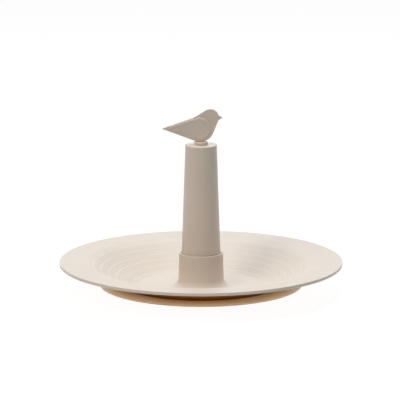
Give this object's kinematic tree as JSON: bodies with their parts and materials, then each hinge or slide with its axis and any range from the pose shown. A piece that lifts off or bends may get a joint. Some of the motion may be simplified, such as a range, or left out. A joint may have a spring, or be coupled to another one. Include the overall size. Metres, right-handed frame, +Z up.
{
  "type": "bird waterer",
  "caption": "Shallow ring-stepped water dish in a caramel-brown saucer base, with a tapered perch column plugged into a central collar and a flat bird figure that turns on top.",
  "frame": {"origin": "on the surface that the part stands on, under the axis of the column", "axes": "+Z up along the column, +X the way the bird's beak points at rest"},
  "size_m": [0.3, 0.3, 0.1973],
  "materials": {
    "sand_plastic": "fine matt moulded texture, sand coloured",
    "brown_base": "satin moulded, caramel brown, slightly translucent",
    "brown_rubber": "soft and matt, orange-brown",
    "dark_rubber": "matt"
  },
  "bodies": {
    "base": {"base_saucer": "brown_base", "seat_ring": "brown_rubber", "foot_pad_1": "dark_rubber", "foot_pad_2": "dark_rubber", "foot_pad_3": "dark_rubber"},
    "dish": {"dish": "sand_plastic"},
    "column": {"column": "sand_plastic", "column_grip_ring": "dark_rubber"},
    "bird": {"bird_pivot": "sand_plastic", "bird": "sand_plastic"}
  },
  "joints": [
    {"name": "dish_lift", "type": "slide", "parent": "base", "child": "dish", "axis": [0, 0, 1], "range_m": [0, 0.06]},
    {"name": "column_lift", "type": "slide", "parent": "dish", "child": "column", "axis": [0, 0, 1], "range_m": [0, 0.06]},
    {"name": "bird_turn", "type": "hinge", "parent": "column", "child": "bird", "pos_m": [0, 0, 0.1596], "axis": [0, 0, 1], "continuous": true}
  ]
}
